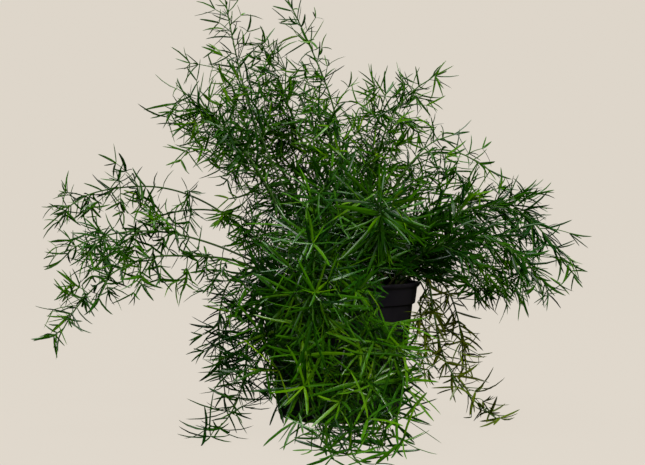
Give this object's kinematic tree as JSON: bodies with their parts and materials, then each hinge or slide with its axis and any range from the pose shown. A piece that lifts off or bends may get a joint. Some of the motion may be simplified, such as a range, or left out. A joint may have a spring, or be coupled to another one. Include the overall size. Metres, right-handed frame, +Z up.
{
  "type": "potted plant",
  "caption": "Asparagus fern with arching and trailing leafy stems, rooted in peat in a round black nursery pot.",
  "frame": {"origin": "centre of the pot's underside, on the surface that it stands on", "axes": "+Z up, X along the widest spread of the stems, -Y towards the longest trailing stems at the front"},
  "size_m": [0.4343, 0.4605, 0.3581],
  "materials": {
    "pot_plastic": "satin",
    "peat": "rough",
    "foliage": "satin"
  },
  "bodies": {
    "root": {"pot": "pot_plastic", "soil": "peat", "leafy_stem_left_high": "foliage", "leafy_stem_left_mid": "foliage", "leafy_stem_left_drooping": "foliage", "leafy_stem_left_back": "foliage", "leafy_stem_left_hanging": "foliage", "leafy_stem_left_hanging_back": "foliage", "leafy_stem_top_left_tallest": "foliage", "leafy_stem_top_left_front": "foliage", "leafy_stem_top_left_low": "foliage", "leafy_stem_top_left_back": "foliage", "leafy_stem_top_front": "foliage", "leafy_stem_top_back": "foliage", "leafy_stem_top_right_front": "foliage", "leafy_stem_top_right": "foliage", "leafy_stem_top_right_back": "foliage", "leafy_stem_right_high": "foliage", "leafy_stem_right_high_back": "foliage", "leafy_stem_right_longest": "foliage", "leafy_stem_right_front": "foliage", "leafy_stem_right_mid": "foliage", "leafy_stem_right_low": "foliage", "leafy_stem_right_back": "foliage", "leafy_stem_right_hanging": "foliage", "leafy_stem_right_hanging_back": "foliage", "leafy_stem_front_left": "foliage", "leafy_stem_front_middle": "foliage", "leafy_stem_front_right": "foliage", "leafy_stem_centre_front": "foliage", "leafy_stem_front_nodding": "foliage", "leafy_stem_front_arching": "foliage", "leafy_stem_front_corner": "foliage", "leafy_stem_back_left": "foliage", "leafy_stem_back_right": "foliage", "leafy_stem_back_hanging": "foliage", "leafy_stem_back_corner": "foliage"}
  },
  "joints": []
}
